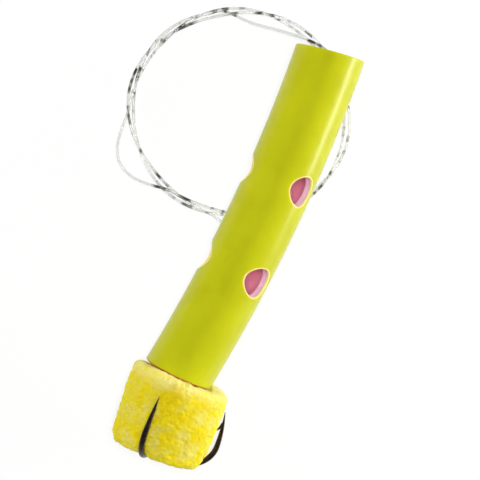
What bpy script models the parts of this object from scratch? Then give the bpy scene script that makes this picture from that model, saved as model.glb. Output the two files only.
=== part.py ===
# Bait tube rig: a two-layer soft tube, a treble hook with a foam sponge, and a coiled nylon leader.
# Sizes are in millimetres and become metres when the meshes are made.
# +X runs from the hook to the tube's mouth, +Z is up, and the rig lies on its side on z = 0.
import math

import bpy
import numpy as np

MM = 0.001

TUBE_OUTER_DIAMETER = 12.7
SLEEVE_WALL = 0.4
LAYER_GAP = 0.25
LINER_WALL = 0.7
LINER_PROUD = 0.12
TUBE_LENGTH = 63.9
TUBE_BOW = 1.7
RIM_OFFSET = 0.46
TUBE_CLEARANCE = 2.2
RIM_CUT_DEG = -1.0
MOUTH_CUT_DEG = 9.7
MOUTH_LEAN = 0.4
TUBE_SIDES = 36
TUBE_RINGS = 13

HOLE_DIAMETER = 6.0
HOLE_STATIONS = (21.1, 38.8)
HOLE_EXIT_DEG = 47.0
HOLE_EXIT_HEIGHT = 4.5

HOOK_TILT_DEG = 4.8
HOOK_ASIDE = -0.26
WIRE_DIAMETER = 1.06
SHANK_GAP = 0.2
ARM_ANGLES_DEG = (-12.7, 107.3, 227.3)
ARM_REACH = 11.0
POINT_REACH = 10.2
POINT_STATION = -3.8
BEND_STATION = -10.3
BEND_DEPTH = 4.6
EYE_STATION = 11.2
EYE_RADIUS = 1.6
EYE_NECK = 1.0
BARB_LENGTH = 0.45

SPONGE_TOP = -0.1
SPONGE_LENGTH = 14.9
SPONGE_RADIUS = 9.0
SPONGE_BARREL = 0.4
SPONGE_TAPER = 0.4
SPONGE_ASIDE = 0.34
SPONGE_EDGE = 0.7
SPONGE_SQUARENESS = 0.015
SPONGE_CORNER_DEG = -19.0
FIT_GAP = 0.3

LINE_DIAMETER = 0.55
KNOT_RISE = 1.5
KNOT_LENGTH = 3.4
KNOT_RADIUS = 0.95
LINE_END = (59.4, -1.2, 5.3)
LEAD_ROUTE = ((62.1, -0.9, 4.85), (64.45, 0.7, 4.3), (65.05, 4.4, 3.2), (64.7, 9.5, 1.85),
              (63.8, 15.4, 1.05))

COIL_CENTRE = (47.57, 10.58)
COIL_RADIUS = 19.48
COIL_OVAL = 0.665
COIL_OVAL_DEG = 168.0
COIL_HEADING_DEG = -65.0
COIL_STRAND_OFFSET = 0.7
COIL_TWISTS = 8.0 + 1.0 / 3.0
COIL_PHASE_DEG = 170.0
COIL_START_DEG = 107.0
COIL_END_DEG = 990.0
COIL_POINTS_PER_TURN = 76
BOW_TURN = 1
BOW_CENTRE_DEG = 203.0
BOW_HALF_DEG = 27.0
BOW_HEIGHT = 3.6
TAIL_START_DEG = 972.0
TAIL_DRIFT = 2.4

END_KNOT_LENGTH = 2.2
END_KNOT_RADIUS = 0.8
END_LOOP_LENGTH = 6.5
END_LOOP_WIDTH = 3.4

for leftover in list(bpy.data.objects):
    bpy.data.objects.remove(leftover, do_unlink=True)

AXIS_HEIGHT = TUBE_CLEARANCE + TUBE_OUTER_DIAMETER / 2
SHANK_OFFSET = (WIRE_DIAMETER + SHANK_GAP) / math.sqrt(3)
SHANK_TOP = EYE_STATION - EYE_RADIUS - EYE_NECK
KNOT_START = EYE_STATION + EYE_RADIUS + KNOT_RISE
UP = np.array([0.0, 0.0, 1.0])
RIM = np.array([0.0, HOOK_ASIDE, AXIS_HEIGHT])
tilt = math.radians(HOOK_TILT_DEG)
HOOK_AXIS = np.array([math.cos(tilt), math.sin(tilt), 0.0])
HOOK_SIDE = np.cross(HOOK_AXIS, UP)


def unit(vector):
    return vector / np.linalg.norm(vector)


def tube_centre(t):
    return np.array([TUBE_LENGTH * t, RIM_OFFSET * (1 - t) - 4 * TUBE_BOW * t * (1 - t), AXIS_HEIGHT])


def tube_heading(t):
    return math.atan2(-RIM_OFFSET - 4 * TUBE_BOW * (1 - 2 * t), TUBE_LENGTH)


def shell(outer, inner, proud):
    """A bent pipe whose two ends are cut on a slant."""
    alpha = np.linspace(0, 2 * math.pi, TUBE_SIDES, endpoint=False)
    verts = []
    for radius in (outer, inner):
        for t in np.linspace(-proud / TUBE_LENGTH, 1.0, TUBE_RINGS):
            cut = math.radians(RIM_CUT_DEG + (MOUTH_CUT_DEG - RIM_CUT_DEG) * t)
            across = np.array([-math.sin(cut), math.cos(cut), 0.0])
            stretch = radius / math.cos(cut - tube_heading(t))
            ring = tube_centre(t) + np.outer(np.cos(alpha) * stretch, across)
            ring += np.outer(np.sin(alpha) * radius, UP)
            ring[:, 0] -= MOUTH_LEAN * t * np.sin(alpha)
            verts.extend(ring)
    faces = []
    wall = TUBE_RINGS * TUBE_SIDES
    for k in range(TUBE_SIDES):
        n = (k + 1) % TUBE_SIDES
        for r in range(TUBE_RINGS - 1):
            a, b = r * TUBE_SIDES, (r + 1) * TUBE_SIDES
            faces.append((a + k, a + n, b + n, b + k))
            faces.append((wall + a + n, wall + a + k, wall + b + k, wall + b + n))
        last = (TUBE_RINGS - 1) * TUBE_SIDES
        faces.append((k, wall + k, wall + n, n))
        faces.append((last + n, wall + last + n, wall + last + k, last + k))
    return np.array(verts), faces


def sweep(points, radii, sides, barb_at=None, broad=0.999):
    """A closed round bar along a route, with an optional spur on its inner side."""
    points = np.asarray(points, float)
    radii = np.broadcast_to(np.asarray(radii, float), (len(points),))
    ahead = np.gradient(points, axis=0)
    ahead /= np.linalg.norm(ahead, axis=1)[:, None]
    side = unit(np.cross(ahead[0], UP if abs(ahead[0] @ UP) < 0.9 else HOOK_AXIS))
    turn = np.linspace(0, 2 * math.pi, sides, endpoint=False)
    verts, faces = [], []
    for i, (point, way, radius) in enumerate(zip(points, ahead, radii)):
        side = unit(side - way * (side @ way))
        third = np.cross(way, side)
        ring = point + radius * (np.outer(np.cos(turn), side) + np.outer(np.sin(turn), third))
        if barb_at is not None and i in barb_at:
            spur = barb_at[i]
            toward = (ring - point) @ spur
            ring[toward > broad * toward.max()] += spur
        verts.extend(ring)
    count = len(points)
    for i in range(count - 1):
        for k in range(sides):
            n = (k + 1) % sides
            faces.append((i * sides + k, i * sides + n, (i + 1) * sides + n, (i + 1) * sides + k))
    faces.append(tuple(reversed(range(sides))))
    faces.append(tuple((count - 1) * sides + k for k in range(sides)))
    return np.array(verts), faces


def lathe(profile, start, axis, sides, shape=None):
    """A turned solid from (station, radius) pairs, closed by a flat at each end."""
    side = unit(np.cross(axis, UP))
    top = np.cross(side, axis)
    turn = np.linspace(0, 2 * math.pi, sides, endpoint=False)
    scale = np.ones(sides) if shape is None else shape(turn)
    verts, faces = [], []
    for station, radius in profile:
        ring = np.outer(np.cos(turn) * scale, top) + np.outer(np.sin(turn) * scale, side)
        verts.extend(start + axis * station + radius * ring)
    count = len(profile)
    for i in range(count - 1):
        for k in range(sides):
            n = (k + 1) % sides
            faces.append((i * sides + k, i * sides + n, (i + 1) * sides + n, (i + 1) * sides + k))
    faces.append(tuple(reversed(range(sides))))
    faces.append(tuple((count - 1) * sides + k for k in range(sides)))
    return np.array(verts), faces


def on_hook(reach, station, angle_deg):
    angle = math.radians(angle_deg)
    return RIM + HOOK_AXIS * station + reach * (math.cos(angle) * UP + math.sin(angle) * HOOK_SIDE)


def arm(angle_deg):
    """Route of one arm from its point down, round the bend and up to the shank."""
    route = []
    for s in (0.0, 0.09, 0.18, 0.3, 0.45, 0.55, 0.62, 0.8, 1.0):
        reach = ARM_REACH - (ARM_REACH - POINT_REACH) * (1 - s) ** 2
        route.append(on_hook(reach, POINT_STATION + (BEND_STATION - POINT_STATION) * s, angle_deg))
    middle = (ARM_REACH + SHANK_OFFSET) / 2
    half = (ARM_REACH - SHANK_OFFSET) / 2
    for s in np.linspace(0, math.pi, 13)[1:]:
        route.append(on_hook(middle + half * math.cos(s), BEND_STATION - BEND_DEPTH * math.sin(s), angle_deg))
    return route


def taper(count):
    thick = np.full(count, WIRE_DIAMETER / 2)
    thick[:4] *= (0.1, 0.36, 0.62, 0.9)
    return thick


def barbs(angle_deg, offset=0, backward=False, clear=0.0):
    inward = on_hook(0, 0, angle_deg) - on_hook(1, 0, angle_deg)
    spur = (inward - HOOK_AXIS * 0.5) * (BARB_LENGTH + clear)
    return {offset + (-6 if backward else 5): spur}


def hook_pair_route():
    first, second = ARM_ANGLES_DEG[0], ARM_ANGLES_DEG[1]
    down = arm(first)
    up = arm(second)[::-1]
    start, finish = on_hook(SHANK_OFFSET, 0, first), on_hook(SHANK_OFFSET, 0, second)
    wide = unit(finish - start)
    centre = on_hook(0, EYE_STATION, 0)
    shank_out = [on_hook(SHANK_OFFSET, h, first) for h in np.linspace(BEND_STATION, SHANK_TOP, 6)[1:]]
    shank_back = [on_hook(SHANK_OFFSET, h, second) for h in np.linspace(SHANK_TOP, BEND_STATION, 6)[:-1]]
    opening = math.asin((WIRE_DIAMETER + SHANK_GAP) / 2 / EYE_RADIUS)
    ring = []
    for s in np.linspace(opening, 2 * math.pi - opening, 15):
        ring.append(centre - EYE_RADIUS * (math.sin(s) * wide + math.cos(s) * HOOK_AXIS))
    return down, shank_out, ring, shank_back, up


def coil_route(degrees):
    """Leader route on the floor: three turns twisted round each other, one with a loose bow."""
    degrees = np.asarray(degrees, float)
    angle = np.radians(degrees)
    bow_at = BOW_CENTRE_DEG + 360 * BOW_TURN
    inside = np.clip(1 - np.abs(degrees - bow_at) / BOW_HALF_DEG, 0, 1)
    bow = inside * inside * (3 - 2 * inside)
    gone = np.clip((degrees - TAIL_START_DEG) / (COIL_END_DEG - TAIL_START_DEG), 0, 1)
    tail = gone * gone * (3 - 2 * gone)
    phase = COIL_TWISTS * angle + math.radians(COIL_PHASE_DEG)
    keep = (1 - 0.8 * bow) * (1 - tail)
    radius = COIL_RADIUS + COIL_OVAL * np.cos(2 * (angle - math.radians(COIL_OVAL_DEG)))
    radius += COIL_STRAND_OFFSET * np.cos(phase) * keep + BOW_HEIGHT * bow + TAIL_DRIFT * tail
    height = 0.02 + LINE_DIAMETER / 2 + COIL_STRAND_OFFSET * (1 + np.sin(phase) * keep) * (1 - 0.9 * tail)
    heading = angle + math.radians(COIL_HEADING_DEG)
    return np.stack([COIL_CENTRE[0] + radius * np.cos(heading), COIL_CENTRE[1] + radius * np.sin(heading),
                     height], axis=1)


def smooth_route(knots, per_span):
    """Catmull-Rom route through the given places."""
    knots = np.asarray(knots, float)
    padded = np.vstack([2 * knots[0] - knots[1], knots, 2 * knots[-1] - knots[-2]])
    out = []
    for a, b, c, d in zip(padded, padded[1:], padded[2:], padded[3:]):
        for t in np.linspace(0, 1, per_span, endpoint=False):
            out.append(0.5 * (2 * b + (c - a) * t + (2 * a - 5 * b + 4 * c - d) * t * t
                              + (3 * b - a - 3 * c + d) * t ** 3))
    out.append(knots[-1])
    return np.array(out)


def least_gap(route, apart):
    """Least free space between stretches of one route that are further apart than that along it."""
    length = np.concatenate([[0], np.cumsum(np.linalg.norm(np.diff(route, axis=0), axis=1))])
    far = np.abs(length[:, None] - length[None, :]) > apart
    gaps = np.linalg.norm(route[:, None] - route[None, :], axis=2)
    return float(gaps[far].min()) - LINE_DIAMETER


tube_radius = TUBE_OUTER_DIAMETER / 2
liner_outer = tube_radius - SLEEVE_WALL - LAYER_GAP
bore_radius = liner_outer - LINER_WALL
meshes, cutters, cords = {}, {}, {}

meshes["bait_tube"] = shell(tube_radius, tube_radius - SLEEVE_WALL, 0.0)
meshes["tube_liner"] = shell(liner_outer, bore_radius, LINER_PROUD)

exit_angle = math.radians(HOLE_EXIT_DEG)
for index, station in enumerate(HOLE_STATIONS):
    t = station / TUBE_LENGTH
    turn = tube_heading(t)
    across = np.array([-math.sin(turn), math.cos(turn), 0.0])
    entry = tube_centre(t) + across * tube_radius
    leave = tube_centre(t) + tube_radius * (math.cos(exit_angle) * UP - math.sin(exit_angle) * across)
    way = unit(leave - entry)
    reach = np.linalg.norm(leave - entry)
    verts, faces = lathe([(end, HOLE_DIAMETER / 2) for end in (-4.0, reach + 4.0)], entry, way, 28)
    high = np.cross(np.cross(way, UP), way)
    flatter = (HOLE_EXIT_HEIGHT / HOLE_DIAMETER - 1) * ((verts - entry) @ way) / reach
    verts += np.outer(flatter * ((verts - entry) @ unit(high)), unit(high))
    cutters["hole_drill_%d" % (index + 1)] = verts, faces

down, shank_out, ring, shank_back, up = hook_pair_route()
route = down + shank_out + ring + shank_back + up
thick = taper(len(route))
thick = np.minimum(thick, thick[::-1])
spurs = barbs(ARM_ANGLES_DEG[0])
spurs.update(barbs(ARM_ANGLES_DEG[1], len(route), True))
meshes["hook_pair"] = sweep(route, thick, 10, spurs)
third = ARM_ANGLES_DEG[2]
route = arm(third) + [on_hook(SHANK_OFFSET, h, third) for h in np.linspace(BEND_STATION, SHANK_TOP, 6)[1:]]
meshes["hook_third"] = sweep(route, taper(len(route)), 10, barbs(third))

profile = []
middle = SPONGE_TOP - SPONGE_LENGTH / 2
for s in np.linspace(-1, 1, 13):
    full = SPONGE_RADIUS - SPONGE_BARREL * s * s + SPONGE_TAPER * s
    lip = max(0.0, abs(s) * SPONGE_LENGTH / 2 - (SPONGE_LENGTH / 2 - SPONGE_EDGE))
    full -= SPONGE_EDGE - math.sqrt(max(0.0, SPONGE_EDGE ** 2 - lip ** 2))
    profile.append((middle + s * SPONGE_LENGTH / 2, full))
corner = math.radians(SPONGE_CORNER_DEG)
verts, faces = lathe(profile, RIM + HOOK_SIDE * SPONGE_ASIDE, HOOK_AXIS, 48,
                     lambda turn: 1 + SPONGE_SQUARENESS * np.cos(4 * (turn - corner)))
verts[:, 2] = np.maximum(verts[:, 2], 0.0)
meshes["sponge"] = verts, faces
seat_floor = -(tube_radius * math.sin(tilt - math.radians(RIM_CUT_DEG)) + LINER_PROUD + FIT_GAP)
seat_radius = tube_radius + RIM_OFFSET - HOOK_ASIDE + 1.5 * FIT_GAP
seat_ends = seat_floor, SPONGE_TOP + 3.0
cutters["sponge_seat"] = lathe([(end, seat_radius) for end in seat_ends], RIM, HOOK_AXIS, 48)
grip = SHANK_OFFSET + WIRE_DIAMETER / 2 + FIT_GAP
bore_ends = SPONGE_TOP - SPONGE_LENGTH - 3.0, SPONGE_TOP + 3.0
cutters["sponge_bore"] = lathe([(end, grip) for end in bore_ends], RIM, HOOK_AXIS, 20)
for index, angle in enumerate(ARM_ANGLES_DEG):
    route = arm(angle)
    spur = barbs(angle, clear=FIT_GAP)
    cutters["sponge_groove_%d" % (index + 1)] = sweep(route, taper(len(route)) + FIT_GAP, 10, spur, 0.2)

knot = []
for s in np.linspace(0, 1, 17):
    swell = 0.5 - 0.5 * math.cos(2 * math.pi * 5 * s)
    knot.append((KNOT_START + KNOT_LENGTH * s, KNOT_RADIUS * (0.72 + 0.28 * swell)))
meshes["leader_knot"] = lathe(knot, RIM, HOOK_AXIS, 16)
eye_top = EYE_STATION + EYE_RADIUS
first, second = (on_hook(SHANK_OFFSET, 0, a) for a in ARM_ANGLES_DEG[:2])
through = unit(np.cross(unit(second - first), HOOK_AXIS))
loop = LINE_DIAMETER / 2 + WIRE_DIAMETER / 2 + FIT_GAP
snell = []
for s in np.linspace(-1, 1, 17):
    a = s * math.radians(150)
    snell.append(RIM + HOOK_AXIS * (eye_top - loop * math.cos(a)) + through * loop * math.sin(a))
rise = [RIM + HOOK_AXIS * (KNOT_START + 0.7) + through * 0.3 * side for side in (-1, 1)]
cutters["knot_loop"] = sweep([rise[0]] + snell + [rise[1]], LINE_DIAMETER / 2, 8)

start = RIM + HOOK_AXIS * (KNOT_START + KNOT_LENGTH + FIT_GAP)
finish = np.array(LINE_END)
heading = np.array([1.0, 0.02, -0.06])
run = []
for t in np.linspace(0, 1, 15):
    run.append(start * (1 - t) ** 3 + 3 * (start + HOOK_AXIS * 12) * t * (1 - t) ** 2
               + 3 * (finish - heading * 14) * t * t * (1 - t) + finish * t ** 3)
cords["leader_in_tube"] = np.array(run)

turns = (COIL_END_DEG - COIL_START_DEG) / 360
coil = coil_route(np.linspace(COIL_START_DEG, COIL_END_DEG, int(turns * COIL_POINTS_PER_TURN) + 1))
cords["leader_coil"] = coil
into_coil = unit(coil[1] - coil[0])
lead_start = finish + unit(heading) * FIT_GAP
lead = smooth_route([lead_start, *LEAD_ROUTE, coil[0] - into_coil * 3.0, coil[0] - into_coil * FIT_GAP], 5)
lead[:, 2] = np.maximum(lead[:, 2], LINE_DIAMETER / 2 + 0.02)
cords["leader_lead"] = lead

out = unit((coil[-1] - coil[-2]) * (1, 1, 0))
place = coil[-1] + out * FIT_GAP
place[2] = END_KNOT_RADIUS + 0.02
barrel = []
for s in np.linspace(0, 1, 13):
    swell = 0.5 - 0.5 * math.cos(2 * math.pi * 3 * s)
    barrel.append((END_KNOT_LENGTH * s, END_KNOT_RADIUS * (0.75 + 0.25 * swell)))
meshes["loop_knot"] = lathe(barrel, place, out, 16)
beside = np.cross(UP, out)
base = place + out * (END_KNOT_LENGTH + FIT_GAP)
eye = []
for s in np.linspace(0, 1, 25):
    along = math.sin(math.pi * s) ** 0.9 * END_LOOP_LENGTH
    aside = -math.sin(2 * math.pi * s) * END_LOOP_WIDTH / 2 - (1 - 2 * s) * 0.5
    drop = (END_KNOT_RADIUS - LINE_DIAMETER / 2) * min(1.0, along / 3.0)
    eye.append(base + out * along + beside * aside - UP * drop)
cords["end_loop"] = np.array(eye)

CORD_NODES = ("leader_in_tube", "leader_coil", "leader_lead", "end_loop", "loop_knot", "leader_knot")
solid = np.vstack([v for name, (v, f) in meshes.items() if name not in CORD_NODES])
low, high = solid.min(axis=0), solid.max(axis=0)
shift = -np.array([(low[0] + high[0]) / 2, (low[1] + high[1]) / 2, low[2]])

COLOURS = {
    "bait_tube": (0.49, 0.51, 0.012, 1), "tube_liner": (0.75, 0.22, 0.33, 1), "sponge": (0.83, 0.68, 0.04, 1),
    "hook_pair": (0.035, 0.025, 0.018, 1), "hook_third": (0.035, 0.025, 0.018, 1),
    "leader_knot": (0.8, 0.8, 0.78, 1), "leader_in_tube": (0.8, 0.8, 0.78, 1),
    "leader_lead": (0.8, 0.8, 0.78, 1), "leader_coil": (0.8, 0.8, 0.78, 1),
    "loop_knot": (0.8, 0.8, 0.78, 1), "end_loop": (0.8, 0.8, 0.78, 1)}


def paint(thing, name):
    material = bpy.data.materials.new(name)
    material.use_nodes = True
    shader = material.node_tree.nodes["Principled BSDF"]
    shader.inputs["Base Color"].default_value = COLOURS[name]
    shader.inputs["Roughness"].default_value = 0.3 if "hook" in name else 0.5
    shader.inputs["Metallic"].default_value = 1.0 if "hook" in name else 0.0
    thing.data.materials.append(material)


def place_mesh(name, verts, faces):
    data = bpy.data.meshes.new(name)
    data.from_pydata([tuple(v) for v in (verts + shift) * MM], [], faces)
    data.update()
    thing = bpy.data.objects.new(name, data)
    bpy.context.collection.objects.link(thing)
    return thing


def place_cord(name, points):
    data = bpy.data.curves.new(name, "CURVE")
    data.dimensions = "3D"
    data.bevel_depth = LINE_DIAMETER / 2 * MM
    data.bevel_resolution = 1 if name == "leader_coil" else 2
    data.use_fill_caps = True
    spline = data.splines.new("POLY")
    spline.points.add(len(points) - 1)
    for knot_point, place in zip(spline.points, (points + shift) * MM):
        knot_point.co = (*place, 1.0)
    thing = bpy.data.objects.new(name, data)
    bpy.context.collection.objects.link(thing)
    return thing


def cut(thing, tool, operation):
    modifier = thing.modifiers.new(tool.name, "BOOLEAN")
    modifier.object = tool
    modifier.operation = operation
    modifier.solver = "EXACT"


things = {name: place_mesh(name, *mesh) for name, mesh in meshes.items()}
things.update({name: place_cord(name, points) for name, points in cords.items()})
for name, thing in things.items():
    paint(thing, name)
tools = {}
for name, mesh in cutters.items():
    tool = place_mesh(name, *mesh)
    tool.hide_render = True
    tool.display_type = "WIRE"
    tools[name] = tool
for name in ("hole_drill_1", "hole_drill_2"):
    cut(things["bait_tube"], tools[name], "DIFFERENCE")
    cut(things["tube_liner"], tools[name], "DIFFERENCE")
for name in ("sponge_seat", "sponge_bore", "sponge_groove_1", "sponge_groove_2", "sponge_groove_3"):
    cut(things["sponge"], tools[name], "DIFFERENCE")
cut(things["leader_knot"], tools["knot_loop"], "UNION")

print("leader coil: least gap to itself %.2f mm" % least_gap(coil, 4.0))
print("lead to coil: least gap %.2f mm" % (np.linalg.norm(lead[:-3, None] - coil[None, 6:], axis=2).min()
                                          - LINE_DIAMETER))
length = sum(np.linalg.norm(np.diff(c, axis=0), axis=1).sum() for c in cords.values())
print("leader length in all %.1f mm" % length)
print("origin shift", np.round(shift, 3))
print("rim", np.round(RIM + shift, 3), "hook axis", np.round(HOOK_AXIS, 4))
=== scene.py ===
import bpy, math
import numpy as np
from mathutils import Matrix


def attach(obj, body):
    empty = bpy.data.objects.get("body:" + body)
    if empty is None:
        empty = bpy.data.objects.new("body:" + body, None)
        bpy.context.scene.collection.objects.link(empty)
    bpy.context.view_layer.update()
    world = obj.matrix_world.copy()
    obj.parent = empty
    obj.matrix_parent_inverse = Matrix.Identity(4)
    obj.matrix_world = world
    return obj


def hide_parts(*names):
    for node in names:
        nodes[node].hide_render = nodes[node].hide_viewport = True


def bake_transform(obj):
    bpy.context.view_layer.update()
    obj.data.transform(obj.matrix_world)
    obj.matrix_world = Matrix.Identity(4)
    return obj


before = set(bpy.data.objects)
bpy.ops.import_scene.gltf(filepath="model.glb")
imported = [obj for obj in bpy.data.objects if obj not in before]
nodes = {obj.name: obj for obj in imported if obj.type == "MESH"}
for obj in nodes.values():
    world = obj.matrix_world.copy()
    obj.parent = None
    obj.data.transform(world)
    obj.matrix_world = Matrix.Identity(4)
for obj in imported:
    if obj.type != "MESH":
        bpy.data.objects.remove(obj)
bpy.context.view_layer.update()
rowShift = np.array([-24.657, 1.873, 0.0])   # from the lower rim, in mm, to the row's origin
up = np.array([0.0, 0.0, 1.0])
print("frame loaded:", sorted(nodes))

# shared drawing helpers: all shapes are worked out in mm from the tube's lower rim, then put in the row in metres
def toRow(points):
    return (np.asarray(points, float) + rowShift) * 0.001

def unit(v):
    v = np.asarray(v, float)
    return v / np.linalg.norm(v, axis=-1, keepdims=True)

def quadStrip(rows, cols, wrapRows):   # indices of the quads of a grid whose columns close on themselves
    r, c = np.meshgrid(np.arange(rows if wrapRows else rows - 1), np.arange(cols), indexing="ij")
    r2, c2 = (r + 1) % rows, (c + 1) % cols
    return np.stack([r * cols + c, r * cols + c2, r2 * cols + c2, r2 * cols + c], axis=-1).reshape(-1, 4)

def addPiece(name, points, faces, material, smoothAngle=None):
    mesh = bpy.data.meshes.new(name)
    mesh.from_pydata(points.tolist(), [], [tuple(f) for f in faces])
    mesh.polygons.foreach_set("use_smooth", np.ones(len(mesh.polygons), dtype=bool))
    if smoothAngle:
        mesh.set_sharp_from_angle(angle=math.radians(smoothAngle))
    mesh.update()
    piece = bpy.data.objects.new(name, mesh)
    bpy.context.scene.collection.objects.link(piece)
    if material:
        mesh.materials.append(material)
    return piece

def gridPiece(name, grid, material, wrapRows=False, capEnds=False, smoothAngle=None):
    rows, cols = grid.shape[:2]
    faces = quadStrip(rows, cols, wrapRows).tolist()
    if capEnds:
        faces.append(list(range(cols))[::-1])
        faces.append(list(range((rows - 1) * cols, rows * cols)))
    return addPiece(name, toRow(grid.reshape(-1, 3)), faces, material, smoothAngle)

def alongPath(path, radii, sides):   # a round section carried along a path, turned as little as possible on the way
    path = np.asarray(path, float)
    ahead = unit(np.gradient(path, axis=0))
    askew = [0.31, 0.52, 0.79]   # any direction that no path here starts along
    side = [unit(np.cross(ahead[0], askew))]
    for way in ahead[1:]:
        side.append(unit(side[-1] - way * (side[-1] @ way)))
    side = np.array(side)
    third = np.cross(ahead, side)
    turn = np.linspace(0, 2 * np.pi, sides, endpoint=False)
    ring = np.cos(turn)[None, :, None] * side[:, None, :] + np.sin(turn)[None, :, None] * third[:, None, :]
    return path[:, None, :] + np.broadcast_to(radii, (len(path),))[:, None, None] * ring

def smoothRoute(knots, perSpan):   # a Catmull-Rom curve through the knots
    knots = np.asarray(knots, float)
    pad = np.vstack([2 * knots[0] - knots[1], knots, 2 * knots[-1] - knots[-2]])
    t = np.linspace(0, 1, perSpan, endpoint=False)[None, :, None]
    a, b, c, d = (pad[i:len(pad) - 3 + i, None, :] for i in range(4))
    out = 0.5 * (2 * b + (c - a) * t + (2 * a - 5 * b + 4 * c - d) * t ** 2 + (3 * b - a - 3 * c + d) * t ** 3)
    return np.vstack([out.reshape(-1, 3), knots[-1]])

def latticeNoise(points, cell, seed):   # smooth value noise: a seeded table read at lattice corners and blended
    tableSize = 4096   # a power of two, so that a key is cut to it by its lowest bits
    table = np.random.RandomState(seed).rand(tableSize)
    primes = (73856093, 19349663, 83492791)
    q = points / cell
    base = np.floor(q).astype(int)
    f = q - base
    f = f * f * (3 - 2 * f)
    total = np.zeros(len(points))
    for corner in np.ndindex(2, 2, 2):
        key = np.bitwise_xor.reduce((base + corner) * primes, axis=1)
        weight = np.where(corner, f, 1 - f).prod(axis=1)
        total += weight * table[key & (tableSize - 1)]
    return total * 2 - 1

def placedBy(right, top, back, place):   # a camera's or lamp's matrix from its own three axes and its place
    return Matrix(np.vstack([np.stack([right, top, back, place], axis=1), [0, 0, 0, 1]]).tolist())

# node helpers for the materials
def newMaterial(name):
    material = bpy.data.materials.new(name)
    material.use_nodes = True
    tree = material.node_tree
    return material, tree, tree.nodes["Principled BSDF"]

def addNode(tree, kind, **settings):
    node = tree.nodes.new(kind)
    for key, value in settings.items():
        if hasattr(node, key):
            setattr(node, key, value)
        else:
            node.inputs[key.replace("_", " ")].default_value = value
    return node

def objectCoords(tree):
    return addNode(tree, "ShaderNodeTexCoord").outputs["Object"]

def noiseOf(tree, coords, scale, detail=3.0, rough=0.55):
    node = addNode(tree, "ShaderNodeTexNoise", Scale=scale, Detail=detail, Roughness=rough)
    tree.links.new(coords, node.inputs["Vector"])
    return node.outputs["Fac"]

def rampOf(tree, value, stops):
    node = addNode(tree, "ShaderNodeValToRGB")
    marks = node.color_ramp.elements
    for mark, (place, colour) in zip((marks[0], marks[1]), (stops[0], stops[-1])):
        mark.position, mark.color = place, (*colour, 1)
    for place, colour in stops[1:-1]:
        marks.new(place).color = (*colour, 1)
    tree.links.new(value, node.inputs["Fac"])
    return node.outputs["Color"]

def mixColour(tree, factor, under, colour):   # lays one fixed colour over another by a factor
    node = addNode(tree, "ShaderNodeMix", data_type="RGBA")
    tree.links.new(factor, node.inputs[0])
    tree.links.new(under, node.inputs[6])
    node.inputs[7].default_value = (*colour, 1)
    return node.outputs[2]

def mathOf(tree, operation, a, b=None):
    node = addNode(tree, "ShaderNodeMath", operation=operation)
    for socket, value in zip(node.inputs, (a, b)):
        if isinstance(value, (int, float)):
            socket.default_value = value
        elif value is not None:
            tree.links.new(value, socket)
    return node.outputs[0]

def stretchOf(tree, value, low, high, toLow, toHigh):
    node = addNode(tree, "ShaderNodeMapRange", interpolation_type="SMOOTHSTEP")
    tree.links.new(value, node.inputs["Value"])
    for key, number in (("From Min", low), ("From Max", high), ("To Min", toLow), ("To Max", toHigh)):
        node.inputs[key].default_value = number
    return node.outputs[0]

def bumpOf(tree, height, strength, distance, under=None):
    node = addNode(tree, "ShaderNodeBump", Strength=strength, Distance=distance)
    tree.links.new(height, node.inputs["Height"])
    if under is not None:
        tree.links.new(under, node.inputs["Normal"])
    return node.outputs["Normal"]

# camera: straight above, rolled so the tube leans to the right
cameraSet = {"place": (1.843, 2.367, 284.5), "imageUp": (0.9062, 0.4228, 0.0), "lens": 115.0}
cameraData = bpy.data.cameras.new("overheadCamera")
cameraData.lens, cameraData.sensor_width, cameraData.clip_start = cameraSet["lens"], 36.0, 0.01
camera = bpy.data.objects.new("overheadCamera", cameraData)
imageUp = np.array(cameraSet["imageUp"])
imageRight = np.cross(imageUp, up)
camera.matrix_world = placedBy(imageRight, imageUp, up, np.array(cameraSet["place"]) * 0.001)
bpy.context.scene.collection.objects.link(camera)
bpy.context.scene.camera = camera
print("camera placed")

# leader: clear nylon, from the knot through the tube, out of the mouth and round the coil
leaderSet = {"diameter": 0.55, "lineEnd": (59.4, -1.2, 5.3), "coilCentre": (47.57, 10.58), "coilRadius": 19.48,
             "oval": 0.665, "ovalAt": 168.0, "heading": -65.0, "strandOffset": 0.6, "twists": 3.0 + 1.0 / 3.0,
             "phase": 300.0, "start": 107.0, "end": 990.0, "perTurn": 130, "bowTurn": 1, "bowAt": 203.0,
             "bowHalf": 27.0, "bowHeight": 4.0, "bowCalm": 0.8, "tailStart": 972.0, "tailDrift": 2.4, "tailFlat": 0.9,
             "floorGap": 0.02, "lineWay": (1.0, 0.02, -0.06), "linePulls": (12.0, 14.0), "leadGap": 0.3, "leadRun": 3.0,
             "leadKnots": [(62.1, -0.9, 4.85), (64.45, 0.7, 4.3), (65.05, 4.4, 3.2), (64.7, 9.5, 1.85), (63.8, 15.4, 1.05)]}

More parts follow.
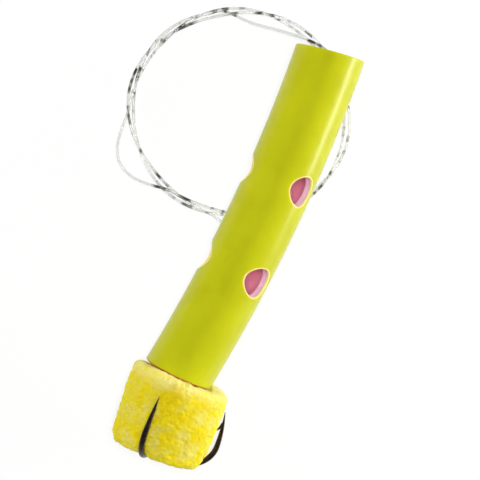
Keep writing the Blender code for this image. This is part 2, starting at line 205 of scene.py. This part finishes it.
# ring radius plus a turning offset, a bow where one strand is loose and a drift at the tail
def coilRoute(degrees):
    s = leaderSet
    angle = np.radians(degrees)
    inside = np.clip(1 - np.abs(degrees - s["bowAt"] - 360 * s["bowTurn"]) / s["bowHalf"], 0, 1)
    bow = inside * inside * (3 - 2 * inside)
    gone = np.clip((degrees - s["tailStart"]) / (s["end"] - s["tailStart"]), 0, 1)
    tail = gone * gone * (3 - 2 * gone)
    phase = s["twists"] * angle + math.radians(s["phase"])
    keep = (1 - s["bowCalm"] * bow) * (1 - tail)
    radius = s["coilRadius"] + s["oval"] * np.cos(2 * (angle - math.radians(s["ovalAt"])))
    radius = radius + s["strandOffset"] * np.cos(phase) * keep + s["bowHeight"] * bow + s["tailDrift"] * tail
    lift = s["strandOffset"] * (1 + np.sin(phase) * keep) * (1 - s["tailFlat"] * tail)
    height = s["floorGap"] + s["diameter"] / 2 + lift
    heading = angle + math.radians(s["heading"])
    middle = s["coilCentre"]
    return np.stack([middle[0] + radius * np.cos(heading), middle[1] + radius * np.sin(heading), height], axis=1)

def cordPiece(name, route, diameter, material):
    data = bpy.data.curves.new(name, "CURVE")
    data.dimensions, data.use_fill_caps = "3D", True
    data.bevel_depth, data.bevel_resolution = diameter * 0.0005, 5   # half the diameter, in metres
    spline = data.splines.new("POLY")
    spline.points.add(len(route) - 1)
    spline.points.foreach_set("co", np.hstack([toRow(route), np.ones((len(route), 1))]).ravel())
    piece = bpy.data.objects.new(name, data)
    bpy.context.scene.collection.objects.link(piece)
    data.materials.append(material)
    return piece

nylon, tree, shader = newMaterial("clearNylon")
coords = objectCoords(tree)
glint = noiseOf(tree, coords, 560.0, 2.0, 0.5)
fromRing = addNode(tree, "ShaderNodeVectorMath", operation="DISTANCE")
tree.links.new(coords, fromRing.inputs[0])
fromRing.inputs[1].default_value = tuple(toRow((*leaderSet["coilCentre"], 0.0)))
ringRadius = leaderSet["coilRadius"] * 0.001
looseOut = stretchOf(tree, fromRing.outputs["Value"], ringRadius + 0.0011, ringRadius + 0.0018, 0.0, 0.6)
looseIn = stretchOf(tree, fromRing.outputs["Value"], ringRadius - 0.0018, ringRadius - 0.0010, 0.6, 0.0)
loose = mathOf(tree, "MAXIMUM", looseOut, looseIn)
glint = mathOf(tree, "MAXIMUM", glint, loose)   # painted dark reflections: dark dashes in the base colour, only where strands lie over each other
# the ramp's dark stops are painted glints, reflections of dark surroundings laid into the colour
paintedDarkGlints = [(0.37, (0.05, 0.05, 0.04)), (0.43, (0.50, 0.50, 0.46)), (0.49, (0.86, 0.87, 0.84))]
tree.links.new(rampOf(tree, glint, paintedDarkGlints), shader.inputs["Base Color"])
shader.inputs["Roughness"].default_value = 0.05
shader.inputs["Transmission Weight"].default_value = 0.85
shader.inputs["IOR"].default_value = 1.5

# the hook's and the knot's sizes come first, because the leader is tied to the eye
hookSet = {"wire": 1.06, "axisHeight": 8.55, "aside": -0.26, "tilt": 4.8, "armAngles": (-12.7, 107.3, 227.3),
           "armReach": 11.0, "pointReach": 10.2, "pointAt": -3.8, "bendAt": -10.3, "bendDepth": 4.6, "shankOffset": 0.7275,
           "shankTop": 8.6, "eyeAt": 11.2, "eyeRadius": 1.6, "eyeMouth": 0.394, "needle": 8.5, "tip": 0.06, "barb": 1.15,
           "barbWide": 0.34, "barbFrom": -6.0, "barbRun": 1.9, "sides": 28}
knotSet = {"start": 14.2, "length": 3.5, "radius": 0.58, "turns": 6.0, "top": 18.0}
axisHeight = hookSet["axisHeight"]
rim = np.array([0.0, hookSet["aside"], axisHeight])   # where the hook's axis crosses the plane of the tube's lower rim
tilt = math.radians(hookSet["tilt"])
hookAxis = np.array([math.cos(tilt), math.sin(tilt), 0.0])
hookSide = np.cross(hookAxis, up)
lineEnd = np.array(leaderSet["lineEnd"])
lineWay = np.array(leaderSet["lineWay"])
coilSpan = leaderSet["end"] - leaderSet["start"]
coil = coilRoute(np.linspace(leaderSet["start"], leaderSet["end"], int(coilSpan / 360 * leaderSet["perTurn"])))
intoCoil = unit(coil[1] - coil[0])
lead = smoothRoute([lineEnd + unit(lineWay) * leaderSet["leadGap"], *leaderSet["leadKnots"],
                    coil[0] - intoCoil * leaderSet["leadRun"], coil[0]], 8)
lead[:, 2] = np.maximum(lead[:, 2], leaderSet["diameter"] / 2 + leaderSet["floorGap"])
leaderRoute = np.vstack([lead[:-1], coil])
leader = cordPiece("leader", leaderRoute, leaderSet["diameter"], nylon)
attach(leader, "tube")
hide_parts("leader_lead", "leader_coil")

t = np.linspace(0, 1, 30)[:, None]
knotTop = rim + hookAxis * knotSet["top"]
knotPull, mouthPull = leaderSet["linePulls"]
inTubeRoute = (knotTop * (1 - t) ** 3 + 3 * (knotTop + hookAxis * knotPull) * t * (1 - t) ** 2
               + 3 * (lineEnd - lineWay * mouthPull) * t ** 2 * (1 - t) + lineEnd * t ** 3)[::-1]   # a cubic Bezier curve
nylonRadius = leaderSet["diameter"] / 2
inTube = gridPiece("leaderInTube", alongPath(inTubeRoute, nylonRadius, 12), nylon, capEnds=True, smoothAngle=50)
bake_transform(inTube)
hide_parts("leader_in_tube")

# a place by its reach from the shank's middle, its station along it and its bearing
def onHook(reach, station, degrees):
    a = np.radians(degrees)
    reach, station = np.broadcast_arrays(np.asarray(reach, float), np.asarray(station, float))
    return rim + station[..., None] * hookAxis + reach[..., None] * (math.cos(a) * up + math.sin(a) * hookSide)

def wound(start, axis, length, radius, turns):   # a line wound in close turns round an axis
    s = np.linspace(0, 1, int(turns * 24))[:, None]
    side = unit(np.cross(axis, up))
    a = s * turns * 2 * np.pi
    return start + s * length * axis + radius * (np.cos(a) * side + np.sin(a) * np.cross(side, axis))

# knot at the eye: close turns round the line, and a bight through the eye
acrossEye = unit(onHook(1, 0, hookSet["armAngles"][1]) - onHook(1, 0, hookSet["armAngles"][0]))
throughEye = np.cross(acrossEye, hookAxis)
eyeTop = hookSet["eyeAt"] + hookSet["eyeRadius"]
bight = nylonRadius + hookSet["wire"] / 2 + 0.02   # the line lies against the wire of the eye
a = np.radians(np.linspace(-150, 150, 40))[:, None]
bightRoute = rim + hookAxis * (eyeTop - bight * np.cos(a)) + throughEye * bight * np.sin(a)
knotStart = rim + hookAxis * knotSet["start"]
turnsRoute = wound(knotStart, hookAxis, knotSet["length"], knotSet["radius"], knotSet["turns"])
core = rim + hookAxis * np.linspace(knotSet["start"] - 0.3, knotSet["top"], 8)[:, None]
knotRoute = smoothRoute(np.vstack([bightRoute[::4], turnsRoute[::2]]), 4)
knotGrids = [alongPath(knotRoute, nylonRadius, 12), alongPath(core, nylonRadius, 12)]

def joinedPiece(name, grids, material):   # several capped tubes in one mesh
    points, faces, first = [], [], 0
    for grid in grids:
        rows, cols = grid.shape[:2]
        faces += (quadStrip(rows, cols, False) + first).tolist()
        faces += [[first + k for k in range(cols)][::-1], [first + (rows - 1) * cols + k for k in range(cols)]]
        points.append(grid.reshape(-1, 3))
        first += rows * cols
    return addPiece(name, toRow(np.vstack(points)), faces, material, 50)

eyeKnot = joinedPiece("leaderKnot", knotGrids, nylon)
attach(eyeKnot, "hook")
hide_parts("leader_knot")

# far end: a tied loop lying under the tube
tailSet = {"knotLength": 2.2, "knotRadius": 0.5, "knotHeight": 0.82, "turns": 3.5, "loopLength": 6.5, "loopWidth": 3.4,
           "gap": 0.3, "neck": 0.35, "loopStart": 0.15, "drop": 0.525, "dropRun": 3.0}
tailWay = unit((coil[-1] - coil[-2]) * (1, 1, 0))
tailKnot = coil[-1] + tailWay * tailSet["gap"]
tailKnot[2] = tailSet["knotHeight"]
tailTurns = wound(tailKnot, tailWay, tailSet["knotLength"], tailSet["knotRadius"], tailSet["turns"])
tailCore = tailKnot + tailWay * np.linspace(-0.5, tailSet["knotLength"] + 0.4, 8)[:, None]
tailGrids = [alongPath(tailTurns, nylonRadius, 12), alongPath(tailCore, nylonRadius, 12)]
loopKnot = joinedPiece("leaderLoopKnot", tailGrids, nylon)
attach(loopKnot, "tube")
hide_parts("loop_knot")
s = np.linspace(0, 1, 49)
loopAlong = np.sin(np.pi * s) ** 0.9 * tailSet["loopLength"]
loopAside = -np.sin(2 * np.pi * s) * tailSet["loopWidth"] / 2 - (1 - 2 * s) * tailSet["neck"]
loopDrop = tailSet["drop"] * np.minimum(1, loopAlong / tailSet["dropRun"])
loopRoute = tailKnot + tailWay * (tailSet["knotLength"] + tailSet["loopStart"]) + loopAlong[:, None] * tailWay
loopRoute = loopRoute + loopAside[:, None] * np.cross(up, tailWay) - loopDrop[:, None] * up
endLoop = joinedPiece("leaderEndLoop", [alongPath(loopRoute, nylonRadius, 14)], nylon)
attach(endLoop, "tube")
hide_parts("end_loop")

# tube: outer skin and pink lining, bent a little, ends cut on a slant, holes drilled through both
tubeSet = {"outer": 6.35, "skinWall": 0.4, "liningWall": 0.92, "liningGap": 0.03, "liningProud": 0.25, "length": 63.9,
           "bow": 1.7, "rimOffset": 0.46, "lowerCut": -1.0, "mouthCut": 9.7, "mouthLean": 0.4, "edgeRound": 0.14,
           "hole": 2.78, "holeEntryHigh": 2.9, "holeExitHigh": (2.5, 2.25), "stations": (21.1, 38.8), "holeExit": 47.0,
           "drillOver": 4.0, "around": 180, "along": 150}

def tubeHeading(t):   # the way the bent centre line points, from its slope
    return np.arctan2(-tubeSet["rimOffset"] - 4 * tubeSet["bow"] * (1 - 2 * t), tubeSet["length"])

def tubeAside(t):   # how far the centre line lies to the side: a shallow parabola
    return tubeSet["rimOffset"] * (1 - t) - 4 * tubeSet["bow"] * t * (1 - t)

def tubePoint(t, radius, alpha):   # each ring's plane turns from one slant cut to the other
    heading = tubeHeading(t)
    cut = np.radians(tubeSet["lowerCut"] + (tubeSet["mouthCut"] - tubeSet["lowerCut"]) * t)
    wide = radius / np.cos(cut - heading)
    x = tubeSet["length"] * t - np.sin(cut) * wide * np.cos(alpha) - tubeSet["mouthLean"] * t * np.sin(alpha)
    y = tubeAside(t) + np.cos(cut) * wide * np.cos(alpha)
    return np.stack([x, y, axisHeight + radius * np.sin(alpha)], axis=-1)

# the wall's outline: along the outside, round the mouth, back inside, round the lower rim
def wallLoop(outer, inner, low, high):
    e, n = tubeSet["edgeRound"], tubeSet["along"]
    q = np.linspace(0, np.pi / 2, 6)
    lowTurn, highTurn, outTurn, inTurn = low + e, high - e, outer - e, inner + e
    run = np.linspace(lowTurn, highTurn, n)
    station = np.concatenate([run, highTurn + e * np.sin(q[1:]), highTurn + e * np.cos(q), run[::-1][1:-1],
                              lowTurn - e * np.sin(q), lowTurn - e * np.cos(q[:-1])])
    radius = np.concatenate([np.full(n, outer), outTurn + e * np.cos(q[1:]), inTurn - e * np.sin(q),
                             np.full(n - 2, inner), inTurn - e * np.cos(q), outTurn + e * np.sin(q[:-1])])
    return station / tubeSet["length"], radius

def drillLine(station):   # where a drill goes in at the side and comes out beside the top
    t = station / tubeSet["length"]
    across = np.array([-math.sin(tubeHeading(t)), math.cos(tubeHeading(t)), 0.0])
    centre = np.array([station, tubeAside(t), axisHeight])
    a = math.radians(tubeSet["holeExit"])
    return centre + across * tubeSet["outer"], centre + tubeSet["outer"] * (math.cos(a) * up - math.sin(a) * across)

drills = [(*drillLine(station), exitHigh) for station, exitHigh in zip(tubeSet["stations"], tubeSet["holeExitHigh"])]

def drillAxes(entry, leave):   # the drill's way, its level direction along the tube, its high direction and its reach
    way = unit(leave - entry)
    level = unit(np.cross(way, up))
    return way, level, np.cross(level, way), float(np.linalg.norm(leave - entry))

def drillTool(name, entry, leave, exitHigh):   # a punch that gets flatter towards the side it leaves by
    way, level, high, reach = drillAxes(entry, leave)
    turn = np.linspace(0, 2 * np.pi, 120, endpoint=False)[None, :, None]
    run = np.array([-tubeSet["drillOver"], reach + tubeSet["drillOver"]])[:, None, None]
    tall = tubeSet["holeEntryHigh"] + (exitHigh - tubeSet["holeEntryHigh"]) * run / reach
    oval = tubeSet["hole"] * np.cos(turn) * level - tall * np.sin(turn) * high
    return gridPiece(name, entry + run * way + oval, None, capEnds=True)

def drilled(name, outer, inner, low, material):
    alpha = np.linspace(0, 2 * np.pi, tubeSet["around"], endpoint=False)
    t, radius = wallLoop(outer, inner, low, tubeSet["length"])
    piece = gridPiece(name, tubePoint(t[:, None], radius[:, None], alpha[None, :]), material, wrapRows=True)
    for number, drill in enumerate(drills):
        tool = drillTool("drill%d" % number, *drill)
        cut = piece.modifiers.new("hole%d" % number, "BOOLEAN")
        cut.object, cut.operation, cut.solver = tool, "DIFFERENCE", "EXACT"
        done = bpy.data.meshes.new_from_object(piece.evaluated_get(bpy.context.evaluated_depsgraph_get()))
        piece.modifiers.clear()
        piece.data = done
        bpy.data.objects.remove(tool, do_unlink=True)
    piece.data.polygons.foreach_set("use_smooth", np.ones(len(piece.data.polygons), dtype=bool))
    piece.data.set_sharp_from_angle(angle=math.radians(32))
    return piece

def dotOf(tree, vector, way):
    node = addNode(tree, "ShaderNodeVectorMath", operation="DOT_PRODUCT")
    tree.links.new(vector, node.inputs[0])
    node.inputs[1].default_value = tuple(float(x) for x in way)
    return node.outputs["Value"]

def holeDistance(tree, coords):   # 1 at the edge of the nearest drill's oval, less inside it and more outside
    found = None
    for entry, leave, exitHigh in drills:
        way, level, high, reach = drillAxes(entry, leave)
        away = addNode(tree, "ShaderNodeVectorMath", operation="SUBTRACT")
        tree.links.new(coords, away.inputs[0])
        away.inputs[1].default_value = tuple(toRow(entry))
        run = dotOf(tree, away.outputs[0], way)
        tall = mathOf(tree, "MULTIPLY_ADD", run, (exitHigh - tubeSet["holeEntryHigh"]) / reach)
        tall.node.inputs[2].default_value = tubeSet["holeEntryHigh"] * 0.001
        flat = mathOf(tree, "DIVIDE", dotOf(tree, away.outputs[0], level), tubeSet["hole"] * 0.001)
        steep = mathOf(tree, "DIVIDE", dotOf(tree, away.outputs[0], high), tall)
        squares = [mathOf(tree, "MULTIPLY", part, part) for part in (flat, steep)]
        size = mathOf(tree, "SQRT", mathOf(tree, "ADD", *squares))
        found = size if found is None else mathOf(tree, "MINIMUM", found, size)
    return found

skinMaterial, tree, shader = newMaterial("chartreuseSkin")
coords = objectCoords(tree)
hole = holeDistance(tree, coords)
mottle = noiseOf(tree, coords, 160.0, 4.0)
base = rampOf(tree, mottle, [(0.3, (0.43, 0.435, 0.004)), (0.7, (0.485, 0.495, 0.006))])
blush = stretchOf(tree, hole, 1.005, 1.11, 1.0, 0.0)
base = mixColour(tree, blush, base, (0.96, 0.76, 0.27))
tree.links.new(base, shader.inputs["Base Color"])
shader.inputs["Roughness"].default_value = 0.32
shader.inputs["Specular IOR Level"].default_value = 0.27
shader.inputs["Subsurface Weight"].default_value = 0.5
shader.inputs["Subsurface Radius"].default_value = (1.0, 1.0, 0.3)
shader.inputs["Subsurface Scale"].default_value = 0.0012
ripple = noiseOf(tree, coords, 420.0, 2.0)
tree.links.new(bumpOf(tree, ripple, 0.1, 0.0002), shader.inputs["Normal"])

liningMaterial, tree, shader = newMaterial("pinkLining")
coords = objectCoords(tree)
hole = holeDistance(tree, coords)
mottle = noiseOf(tree, coords, 200.0, 3.0)
base = rampOf(tree, mottle, [(0.3, (0.97, 0.28, 0.39)), (0.7, (0.99, 0.34, 0.46))])
blush = stretchOf(tree, hole, 1.005, 1.04, 0.9, 0.0)
base = mixColour(tree, blush, base, (0.93, 0.50, 0.63))
lowerCut = math.radians(tubeSet["lowerCut"])
rimWay = np.array([math.cos(lowerCut), math.sin(lowerCut), 0.0])
rimAt = float(toRow((0.0, tubeSet["rimOffset"], 0.0)) @ rimWay)
red = stretchOf(tree, dotOf(tree, coords, rimWay), rimAt + 0.0004, rimAt + 0.0012, 1.0, 0.0)
base = mixColour(tree, red, base, (0.85, 0.12, 0.035))
tree.links.new(base, shader.inputs["Base Color"])
shader.inputs["Roughness"].default_value = 0.42
shader.inputs["Subsurface Weight"].default_value = 0.8
shader.inputs["Subsurface Radius"].default_value = (1.0, 0.7, 0.8)
shader.inputs["Subsurface Scale"].default_value = 0.002

skinInner = tubeSet["outer"] - tubeSet["skinWall"]
liningOuter = skinInner - tubeSet["liningGap"]
skin = drilled("tubeSkin", tubeSet["outer"], skinInner, 0.0, skinMaterial)
lining = drilled("tubeLining", liningOuter, liningOuter - tubeSet["liningWall"], -tubeSet["liningProud"], liningMaterial)
for piece, node, slotName in ((skin, "bait_tube", "tube_skin"), (lining, "tube_liner", "tube_lining")):
    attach(piece, "tube")
    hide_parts(node)
print("tube drilled:", len(skin.data.polygons), "faces outside,", len(lining.data.polygons), "inside")

# treble hook: two arms and the eye from one wire, the third arm beside them
def armRoute(degrees):   # from the point down a slightly inward arm, round a half-ellipse bend to the shank
    h = hookSet
    s = np.linspace(0, 1, 26)
    reach = h["armReach"] - (h["armReach"] - h["pointReach"]) * (1 - s) ** 2
    arm = onHook(reach, h["pointAt"] + (h["bendAt"] - h["pointAt"]) * s, degrees)
    q = np.linspace(0, np.pi, 44)[1:]
    middle, half = (h["armReach"] + h["shankOffset"]) / 2, (h["armReach"] - h["shankOffset"]) / 2
    return np.vstack([arm, onHook(middle + half * np.cos(q), h["bendAt"] - h["bendDepth"] * np.sin(q), degrees)])

def wireRadii(route, bothEnds):   # full wire, drawn down to a needle point over the last few millimetres
    run = np.concatenate([[0], np.cumsum(np.linalg.norm(np.diff(route, axis=0), axis=1))])
    if bothEnds:
        run = np.minimum(run, run[-1] - run)
    drawn = np.sin(np.clip(run / hookSet["needle"], 0, 1) * np.pi / 2) ** 0.9
    return hookSet["wire"] / 2 * (hookSet["tip"] + (1 - hookSet["tip"]) * drawn)

def barbGrid(degrees):   # a thin chisel-cut sliver standing off the inner side of an arm
    h = hookSet
    s = np.linspace(0, 1, 9)
    root = onHook(h["armReach"] - 0.32 - 0.1 * (1 - s), h["barbFrom"] - h["barbRun"] * s, degrees)
    lift = (s ** 1.5)[:, None] * h["barb"] * (onHook(0, 0, degrees) - onHook(1, 0, degrees))
    return alongPath(root + lift, h["barbWide"] * (1 - 0.92 * s ** 1.3), 12)

h = hookSet
first, second, third = h["armAngles"]
shank = np.linspace(h["bendAt"], h["shankTop"], 20)[1:]
centre = onHook(0, h["eyeAt"], 0)
mouth = math.asin(h["eyeMouth"])   # half the angle that the eye is left open at the shank
q = np.linspace(mouth, 2 * np.pi - mouth, 48)[:, None]
eyeRing = centre - h["eyeRadius"] * (np.sin(q) * acrossEye + np.cos(q) * hookAxis)
pairRoute = np.vstack([armRoute(first), onHook(h["shankOffset"], shank, first), eyeRing,
                       onHook(h["shankOffset"], shank[::-1], second), armRoute(second)[::-1]])
thirdRoute = np.vstack([armRoute(third), onHook(h["shankOffset"], shank, third)])

wireMaterial, tree, shader = newMaterial("darkBronzeWire")
coords = objectCoords(tree)
tarnish = noiseOf(tree, coords, 900.0, 5.0)
bronze = rampOf(tree, tarnish, [(0.3, (0.022, 0.016, 0.011)), (0.72, (0.075, 0.052, 0.034))])
tree.links.new(bronze, shader.inputs["Base Color"])
shader.inputs["Metallic"].default_value = 0.85
tree.links.new(stretchOf(tree, tarnish, 0.3, 0.7, 0.24, 0.42), shader.inputs["Roughness"])
tree.links.new(bumpOf(tree, noiseOf(tree, coords, 2600.0, 2.0), 0.08, 0.0001), shader.inputs["Normal"])

pairWire = alongPath(pairRoute, wireRadii(pairRoute, True), h["sides"])
thirdWire = alongPath(thirdRoute, wireRadii(thirdRoute, False), h["sides"])
hookPair = joinedPiece("hookPairWire", [pairWire, barbGrid(first), barbGrid(second)], wireMaterial)
hookThird = joinedPiece("hookThirdWire", [thirdWire, barbGrid(third)], wireMaterial)
for piece, node in ((hookPair, "hook_pair"), (hookThird, "hook_third")):
    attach(piece, "hook")
    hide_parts(node)
print("hook bent")

# sponge: a barrel of open-cell foam, flat where it rests, dented where the wire presses
spongeSet = {"top": -0.1, "length": 14.9, "radius": 9.0, "barrel": 0.4, "taper": 0.4, "aside": 0.34, "edge": 1.0,
             "squareness": 0.015, "corner": -19.0, "around": 320, "alongSide": 150, "acrossEnd": 60, "edgeSteps": 12,
             "lump": 0.22, "lumpCell": 3.4, "pore": 0.2, "poreCells": (0.85, 1.6), "fuzz": 0.2, "fuzzCell": 0.42,
             "dent": 0.9, "dentWide": 1.1, "seatFloor": -1.0, "seatRadius": 5.85, "seatSlope": 1.11,
             "lipLean": 0.6, "lipDrop": 0.5, "lipFrom": -3.0, "lipRun": 2.9}

# end disc, rounded edge, barrelled side, rounded edge, end disc, all as one profile turned about the shank
def spongeGrid():
    k = spongeSet
    half, e = k["length"] / 2, k["edge"]
    q = np.linspace(0, np.pi / 2, k["edgeSteps"])
    side = np.linspace(-half + e, half - e, k["alongSide"])
    station = np.concatenate([np.full(k["acrossEnd"], -half), -half + e - e * np.cos(q[1:]), side[1:-1],
                              half - e + e * np.sin(q[:-1]), np.full(k["acrossEnd"], half)])
    full = k["radius"] - k["barrel"] * (station / half) ** 2 + k["taper"] * station / half
    disc = np.linspace(0.004, 1, k["acrossEnd"])
    ends = k["acrossEnd"] + k["edgeSteps"] - 1   # stations on one end disc and its rounded edge
    radius = np.concatenate([disc * (full[0] - e), (full[0] - e) + e * np.sin(q[1:]), full[ends:-ends],
                             (full[-1] - e) + e * np.cos(q[:-1]), disc[::-1] * (full[-1] - e)])
    turn = np.linspace(0, 2 * np.pi, k["around"], endpoint=False)
    shape = 1 + k["squareness"] * np.cos(4 * (turn - math.radians(k["corner"])))
    r = radius[:, None] * shape[None, :]
    start = rim + hookSide * k["aside"] + hookAxis * (k["top"] - half)
    spoke = np.cos(turn)[None, :, None] * up + np.sin(turn)[None, :, None] * hookSide
    return start + station[:, None, None] * hookAxis + r[..., None] * spoke

grid = spongeGrid()
flatPoints = grid.reshape(-1, 3)
outward = unit(flatPoints - (rim + hookAxis * (spongeSet["top"] - spongeSet["length"] / 2)))
lump = latticeNoise(flatPoints, spongeSet["lumpCell"], 11) * spongeSet["lump"]
smallCell, largeCell = spongeSet["poreCells"]
smallPits = np.minimum(0, latticeNoise(flatPoints, smallCell, 23) + 0.1) * spongeSet["pore"]
pits = smallPits + np.minimum(0, latticeNoise(flatPoints, largeCell, 31)) * spongeSet["pore"]
fuzz = latticeNoise(flatPoints, spongeSet["fuzzCell"], 7) * spongeSet["fuzz"]
wirePath = np.vstack([armRoute(d)[::3] for d in h["armAngles"]])
near = np.full(len(flatPoints), 1e9)
for place in wirePath:
    near = np.minimum(near, np.linalg.norm(flatPoints - place, axis=1))
press = -spongeSet["dent"] * np.exp(-(near / spongeSet["dentWide"]) ** 2)
flatPoints = flatPoints + outward * (lump + pits + fuzz + press)[:, None]
station = (flatPoints - rim) @ hookAxis
offAxis = flatPoints - rim - station[:, None] * hookAxis
reach, bearing = np.linalg.norm(offAxis, axis=1), np.arctan2(offAxis @ hookSide, offAxis @ up)
# the lip follows the slant of the tube's rim
lean = -spongeSet["lipLean"] * np.sin(bearing) * np.cos(bearing)
lean = lean - spongeSet["lipDrop"] * np.maximum(0, np.sin(bearing)) ** 4
lifted = station + lean * np.clip((station - spongeSet["lipFrom"]) / spongeSet["lipRun"], 0, 1)
# the seat is a cone that clears the slanted rim at every turn
ceiling = spongeSet["seatFloor"] + spongeSet["seatSlope"] * np.maximum(0, reach - spongeSet["seatRadius"])
flatPoints = flatPoints + (np.minimum(lifted, ceiling) - station)[:, None] * hookAxis
flatPoints[:, 2] = np.maximum(flatPoints[:, 2], 0.0)

foamMaterial, tree, shader = newMaterial("yellowFoam")
coords = objectCoords(tree)
cells = addNode(tree, "ShaderNodeTexVoronoi", Scale=1300.0, Randomness=1.0)
tree.links.new(coords, cells.inputs["Vector"])
patch = noiseOf(tree, coords, 280.0, 3.0, 0.55)
base = rampOf(tree, patch, [(0.40, (0.65, 0.515, 0.002)), (0.47, (0.67, 0.555, 0.002)),
                            (0.54, (0.64, 0.55, 0.04)), (0.64, (0.63, 0.56, 0.12))])
# painted shade: the foam is darkened to a deeper yellow by the distance within the Voronoi cells, standing in for shade
# in its pores
poreShade = stretchOf(tree, cells.outputs["Distance"], 0.1, 0.55, 0.0, 0.35)
base = mixColour(tree, poreShade, base, (0.61, 0.48, 0.012))
# painted light: a pale cream laid in patches over the sponge's top end, under the tube's rim, where it lies in shade
topAt = float(toRow(rim) @ hookAxis) + spongeSet["top"] * 0.001
paintedTopLight = stretchOf(tree, dotOf(tree, coords, hookAxis), topAt - 0.0032, topAt - 0.0004, 0.0, 0.8)
paintedTopLight = mathOf(tree, "MULTIPLY", paintedTopLight, noiseOf(tree, coords, 300.0, 2.0))
base = mixColour(tree, paintedTopLight, base, (0.80, 0.74, 0.34))
tree.links.new(base, shader.inputs["Base Color"])
shader.inputs["Roughness"].default_value = 0.95
shader.inputs["Specular IOR Level"].default_value = 0.1
shader.inputs["Subsurface Weight"].default_value = 0.8
shader.inputs["Subsurface Radius"].default_value = (1.0, 0.9, 0.25)
shader.inputs["Subsurface Scale"].default_value = 0.004
shader.inputs["Sheen Weight"].default_value = 0.06
shader.inputs["Sheen Roughness"].default_value = 0.6
rough = bumpOf(tree, cells.outputs["Distance"], 0.28, 0.0003)
tree.links.new(bumpOf(tree, noiseOf(tree, coords, 900.0, 3.0), 0.14, 0.0003, rough), shader.inputs["Normal"])

sponge = gridPiece("foamSponge", flatPoints.reshape(grid.shape), foamMaterial, capEnds=True)
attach(sponge, "hook")
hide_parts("sponge")
print("sponge shaped")

# pale floor, soft sky, a lamp overhead and a low strip light on each side
stageSet = {"sky": 0.17, "rightLight": 1.04, "leftLight": 0.33, "topLight": 3.15, "shadow": 0.22, "floorHalf": 1.5,
            "floorDrop": 0.00005, "strip": (0.26, 0.04), "square": (0.16, 0.16)}   # in metres and watts
floorMaterial, tree, shader = newMaterial("paleFloor")
shader.inputs["Base Color"].default_value = (0.92, 0.92, 0.92, 1)
shader.inputs["Roughness"].default_value = 0.8
rays = addNode(tree, "ShaderNodeLightPath")
seen = mathOf(tree, "MAXIMUM", rays.outputs["Is Camera Ray"], rays.outputs["Is Glossy Ray"])
seen = mathOf(tree, "MAXIMUM", seen, rays.outputs["Is Transmission Ray"])
glow = addNode(tree, "ShaderNodeEmission", Strength=1.0)
blendNode = addNode(tree, "ShaderNodeMixShader")
tree.links.new(mathOf(tree, "MULTIPLY", seen, 1 - stageSet["shadow"]), blendNode.inputs[0])
tree.links.new(shader.outputs[0], blendNode.inputs[1])
tree.links.new(glow.outputs[0], blendNode.inputs[2])
tree.links.new(blendNode.outputs[0], tree.nodes["Material Output"].inputs["Surface"])
half, drop = stageSet["floorHalf"], stageSet["floorDrop"]
floorCorners = np.array([[-half, -half, -drop], [half, -half, -drop], [half, half, -drop], [-half, half, -drop]])
floor = addPiece("paleFloor", floorCorners, [(0, 1, 2, 3)], floorMaterial)

world = bpy.data.worlds.new("softRoom")
world.use_nodes = True
bpy.context.scene.world = world
tree = world.node_tree
tree.nodes["Background"].inputs["Color"].default_value = (1.0, 1.0, 1.0, 1)
rays = addNode(tree, "ShaderNodeLightPath")
strength = stretchOf(tree, rays.outputs["Is Camera Ray"], 0.0, 1.0, stageSet["sky"], 1.0)
tree.links.new(strength, tree.nodes["Background"].inputs["Strength"])   # white to the camera, dim as a light

def addSoftbox(name, place, size, power, aim):
    lamp = bpy.data.lights.new(name, "AREA")
    lamp.shape, lamp.size, lamp.size_y, lamp.energy = "RECTANGLE", size[0], size[1], power
    box = bpy.data.objects.new(name, lamp)
    back = unit(np.array(place) - np.array(aim))
    side = unit(np.cross(up if abs(back @ up) < 0.95 else np.array([1.0, 0, 0]), back))
    top = np.cross(back, side)
    box.matrix_world = placedBy(side, top, back, place)
    bpy.context.scene.collection.objects.link(box)
    return box

strip, square = stageSet["strip"], stageSet["square"]
addSoftbox("rightStrip", (0.15, -0.28, 0.03), strip, stageSet["rightLight"], (0.04, 0.0, 0.008))
leftStrip = addSoftbox("leftStrip", (0.0, 0.3, 0.03), strip, stageSet["leftLight"], (0.0, 0.0, 0.008))
overhead = addSoftbox("overhead", (0.03, 0.0, 0.6), square, stageSet["topLight"], (0.0, 0.0, 0.0))
leftStrip.visible_glossy = overhead.visible_glossy = False   # only the right strip is mirrored in the tube
bpy.context.scene.view_settings.view_transform = "Standard"
print("stage lit")
